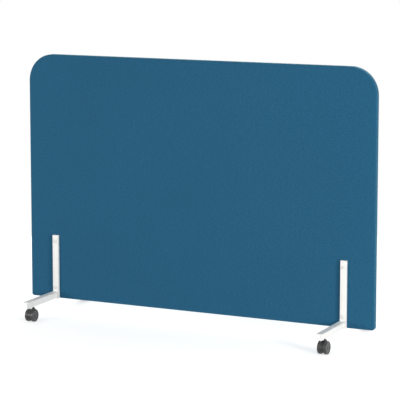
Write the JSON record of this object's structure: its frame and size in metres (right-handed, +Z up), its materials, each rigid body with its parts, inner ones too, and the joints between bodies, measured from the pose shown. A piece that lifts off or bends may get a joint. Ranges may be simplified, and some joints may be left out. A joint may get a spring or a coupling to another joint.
{
  "type": "rolling partition",
  "caption": "Free-standing fabric-covered acoustic panel on white T-section feet with twin-wheel swivel casters.",
  "frame": {"origin": "on the floor under the middle of the panel, halfway between the front and rear casters", "axes": "+X along the panel's width, to the viewer's right from the front; -Y out of the front face; +Z up"},
  "size_m": [1.8, 0.635, 1.267],
  "materials": {
    "fabric": "petrol blue woven screen fabric, matt",
    "wadding": "thin needled polyester wadding",
    "hardboard": "brown hardboard",
    "timber": "planed softwood",
    "infill": "pressed fibre slab",
    "white_steel": "white powder coat, satin",
    "white_cap": "white enamelled bolt head, smooth",
    "zinc_steel": "bright zinc plated",
    "black_plastic": "moulded black nylon",
    "wheel": "black nylon wheel, slightly worn tread"
  },
  "bodies": {
    "panel": {"front_fabric_cover": "fabric", "rear_fabric_cover": "fabric", "front_wadding": "wadding", "rear_wadding": "wadding", "front_hardboard": "hardboard", "rear_hardboard": "hardboard", "top_rail": "timber", "bottom_rail": "timber", "centre_stile": "timber", "left_stile": "timber", "right_stile": "timber", "left_corner_block": "timber", "right_corner_block": "timber", "left_foot_block": "timber", "right_foot_block": "timber", "left_infill_slab": "infill", "right_infill_slab": "infill", "front_left_upright": "white_steel", "front_right_upright": "white_steel", "rear_left_upright": "white_steel", "rear_right_upright": "white_steel", "front_left_leg": "white_steel", "front_right_leg": "white_steel", "rear_left_leg": "white_steel", "rear_right_leg": "white_steel", "front_left_caster_boss": "white_steel", "front_right_caster_boss": "white_steel", "rear_left_caster_boss": "white_steel", "rear_right_caster_boss": "white_steel", "front_left_caster_stem": "zinc_steel", "front_right_caster_stem": "zinc_steel", "rear_left_caster_stem": "zinc_steel", "rear_right_caster_stem": "zinc_steel", "left_lower_bolt": "white_cap", "left_upper_bolt": "white_cap", "right_lower_bolt": "white_cap", "right_upper_bolt": "white_cap", "left_lower_sleeve_nut": "white_cap", "left_upper_sleeve_nut": "white_cap", "right_lower_sleeve_nut": "white_cap", "right_upper_sleeve_nut": "white_cap"},
    "front_left_swivel": {"front_left_caster_body": "black_plastic", "front_left_caster_axle": "zinc_steel"},
    "front_right_swivel": {"front_right_caster_body": "black_plastic", "front_right_caster_axle": "zinc_steel"},
    "rear_left_swivel": {"rear_left_caster_body": "black_plastic", "rear_left_caster_axle": "zinc_steel"},
    "rear_right_swivel": {"rear_right_caster_body": "black_plastic", "rear_right_caster_axle": "zinc_steel"},
    "front_left_wheel_l": {"front_left_caster_left_wheel": "wheel"},
    "front_left_wheel_r": {"front_left_caster_right_wheel": "wheel"},
    "front_right_wheel_l": {"front_right_caster_left_wheel": "wheel"},
    "front_right_wheel_r": {"front_right_caster_right_wheel": "wheel"},
    "rear_left_wheel_l": {"rear_left_caster_left_wheel": "wheel"},
    "rear_left_wheel_r": {"rear_left_caster_right_wheel": "wheel"},
    "rear_right_wheel_l": {"rear_right_caster_left_wheel": "wheel"},
    "rear_right_wheel_r": {"rear_right_caster_right_wheel": "wheel"}
  },
  "joints": [
    {"name": "front_left_turn", "type": "hinge", "parent": "panel", "child": "front_left_swivel", "pos_m": [-0.755, -0.2475, 0.06], "axis": [0, 0, 1], "continuous": true},
    {"name": "front_right_turn", "type": "hinge", "parent": "panel", "child": "front_right_swivel", "pos_m": [0.755, -0.2475, 0.06], "axis": [0, 0, 1], "continuous": true},
    {"name": "rear_left_turn", "type": "hinge", "parent": "panel", "child": "rear_left_swivel", "pos_m": [-0.755, 0.2475, 0.06], "axis": [0, 0, 1], "continuous": true},
    {"name": "rear_right_turn", "type": "hinge", "parent": "panel", "child": "rear_right_swivel", "pos_m": [0.755, 0.2475, 0.06], "axis": [0, 0, 1], "continuous": true},
    {"name": "front_left_roll_l", "type": "hinge", "parent": "front_left_swivel", "child": "front_left_wheel_l", "pos_m": [-0.755, -0.2635, 0.03], "axis": [1, 0, 0], "continuous": true},
    {"name": "front_left_roll_r", "type": "hinge", "parent": "front_left_swivel", "child": "front_left_wheel_r", "pos_m": [-0.755, -0.2635, 0.03], "axis": [1, 0, 0], "continuous": true},
    {"name": "front_right_roll_l", "type": "hinge", "parent": "front_right_swivel", "child": "front_right_wheel_l", "pos_m": [0.755, -0.2635, 0.03], "axis": [1, 0, 0], "continuous": true},
    {"name": "front_right_roll_r", "type": "hinge", "parent": "front_right_swivel", "child": "front_right_wheel_r", "pos_m": [0.755, -0.2635, 0.03], "axis": [1, 0, 0], "continuous": true},
    {"name": "rear_left_roll_l", "type": "hinge", "parent": "rear_left_swivel", "child": "rear_left_wheel_l", "pos_m": [-0.755, 0.2635, 0.03], "axis": [1, 0, 0], "continuous": true},
    {"name": "rear_left_roll_r", "type": "hinge", "parent": "rear_left_swivel", "child": "rear_left_wheel_r", "pos_m": [-0.755, 0.2635, 0.03], "axis": [1, 0, 0], "continuous": true},
    {"name": "rear_right_roll_l", "type": "hinge", "parent": "rear_right_swivel", "child": "rear_right_wheel_l", "pos_m": [0.755, 0.2635, 0.03], "axis": [1, 0, 0], "continuous": true},
    {"name": "rear_right_roll_r", "type": "hinge", "parent": "rear_right_swivel", "child": "rear_right_wheel_r", "pos_m": [0.755, 0.2635, 0.03], "axis": [1, 0, 0], "continuous": true}
  ]
}
